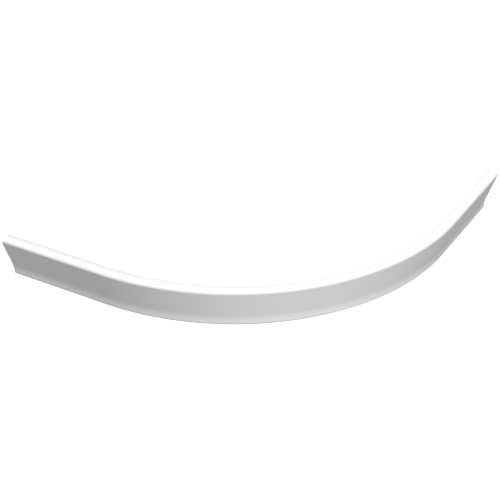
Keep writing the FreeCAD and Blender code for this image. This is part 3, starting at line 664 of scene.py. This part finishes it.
def make_ends(zinc):
    """At each end: a plywood block and a slotted steel angle that slides under two washers."""
    for label, side in SIDES.items():
        eased_copy(f"end_block_{label}", f"end_timber_{label}", plywood_finish(side * HALF_TURN), "plywood",
                   "panel", BLOCK_EASE)
        eased_copy(f"wall_angle_{label}", f"slotted_angle_{label}", zinc, "zinc", f"wall_angle_{label}",
                   ANGLE_EASE)
    eased_copy("angle_washers", "flat_washers", zinc, "zinc", "panel", WASHER_EASE)


def make_fasteners(zinc):
    """Two screws through each rail and two through the slots of each angle."""
    rail_places = [(turn, RAIL_FACE, sign * RAIL_SCREW_PLACE) for turn in CLIP_TURNS for sign in (-1, 1)]
    first = STRAIGHT_LENGTH - ANGLE_SCREW_MARGIN
    angle_places = [(side * HALF_TURN, WASHER_BACK, side * (first - step * ANGLE_SCREW_PITCH))
                    for side in SIDES.values() for step in (0, 1)]
    make_screws("hexagon_rail_screws", "rail_screws", zinc, rail_places)
    make_screws("hexagon_angle_screws", "angle_screws", zinc, angle_places)


# Studio floor: how far it reaches each way, and how much of its brightness is its own
FLOOR_REACH = 40
PAPER_GLOW = 0.5


def make_floor():
    """Plain pale studio floor, a sheet of paper lit from behind so that no shadow shows on it."""
    mesh = bpy.data.meshes.new("studio_floor")
    corners = [(x * FLOOR_REACH, y * FLOOR_REACH, 0) for x, y in ((-1, -1), (1, -1), (1, 1), (-1, 1))]
    mesh.from_pydata(corners, [], [(0, 1, 2, 3)])
    finish, tree, place = new_finish("pale_studio_paper")
    grain = add(tree, "ShaderNodeTexNoise", {"Vector": place.outputs["Object"], "Scale": per(400)})
    colour = add(tree, "ShaderNodeMix", {
        "Factor": grain.outputs["Fac"], "A": linear("F6F6F5"), "B": linear("F9F9F9")}, data_type="RGBA")
    add_surface(tree, {
        "Base Color": colour.outputs["Result"], "Roughness": 0.9, "Specular IOR Level": 0.1,
        "Emission Color": colour.outputs["Result"], "Emission Strength": PAPER_GLOW})
    mesh.materials.append(finish)
    floor = bpy.data.objects.new("studio_floor", mesh)
    bpy.context.scene.collection.objects.link(floor)
    floor.visible_diffuse = False
    floor.visible_glossy = False
    floor.visible_shadow = False


# View of the photo: the camera looks at a point on the floor behind the middle of the panel. Its sensor
# and lens are in millimetres, as Blender's cameras take them.
VIEW_AZIMUTH = math.radians(-14.88)
VIEW_ELEVATION = math.radians(32.2)
VIEW_DISTANCE = 3065 * MM
VIEW_TARGET = Vector((-29.5 * MM, CENTRE_Y - 239.2 * MM, 0))
SENSOR_WIDTH = 36
LENS = 100


def bearing(azimuth, elevation):
    """Direction from the panel towards a place at an azimuth round from the front and an elevation."""
    level = math.cos(elevation)
    return Vector((math.sin(azimuth) * level, -math.cos(azimuth) * level, math.sin(elevation)))


def make_camera():
    """Camera at the photo's viewing angle, its distance back from the point that it looks at."""
    camera = bpy.data.objects.new("camera", bpy.data.cameras.new("camera"))
    camera.data.sensor_width = SENSOR_WIDTH
    camera.data.lens = LENS
    back = bearing(VIEW_AZIMUTH, VIEW_ELEVATION)
    camera.location = VIEW_TARGET + back * VIEW_DISTANCE
    camera.rotation_mode = "QUATERNION"
    camera.rotation_quaternion = (-back).to_track_quat("-Z", "Y")
    bpy.context.scene.collection.objects.link(camera)
    bpy.context.scene.camera = camera


# Soft lights round the panel: azimuth from the front and elevation in degrees, narrowness and strength
STUDIO_LIGHTS = {
    "high_front": (0, 50, 14, 4.3),
    "key_right": (26, 20, 14, 2.35),
    "side_left": (-72, 67, 60, 12.2),
    "high_right": (75, 66, 60, 3.6),
    "low_back": (180, 20, 6, 2.1),
    "floor_bounce": (7, -50, 7, 1.18),
    "back_bounce": (180, -45, 8, 0.96),
}


def make_sky():
    """Studio surroundings: each light is a soft lobe, the cosine of the angle from its middle raised to its
    narrowness, and those from below stand for light that the floor throws back."""
    world = bpy.data.worlds.new("studio")
    bpy.context.scene.world = world
    world.use_nodes = True
    tree = world.node_tree
    tree.nodes.clear()
    place = add(tree, "ShaderNodeTexCoord")
    level = 0.0
    for azimuth, elevation, narrowness, strength in STUDIO_LIGHTS.values():
        towards = bearing(math.radians(azimuth), math.radians(elevation))
        cosine = add(tree, "ShaderNodeVectorMath", {
            0: place.outputs["Generated"], 1: towards}, operation="DOT_PRODUCT")
        facing = add(tree, "ShaderNodeMath", {0: cosine.outputs["Value"], 1: 0.0}, operation="MAXIMUM")
        lobe = add(tree, "ShaderNodeMath", {0: facing.outputs["Value"], 1: narrowness}, operation="POWER")
        level = add(tree, "ShaderNodeMath", {
            0: lobe.outputs["Value"], 1: strength, 2: level}, operation="MULTIPLY_ADD").outputs["Value"]
    sky = add(tree, "ShaderNodeBackground", {"Color": linear("FFFFFF"), "Strength": level})
    add(tree, "ShaderNodeOutputWorld", {"Surface": sky.outputs["Background"]})


zinc_plate = zinc_finish()
make_acrylic_panel()
make_laminate()
make_floor_strip()
make_clips()
make_ends(zinc_plate)
make_fasteners(zinc_plate)
make_floor()
make_camera()
make_sky()
bpy.context.scene.view_settings.view_transform = "Standard"
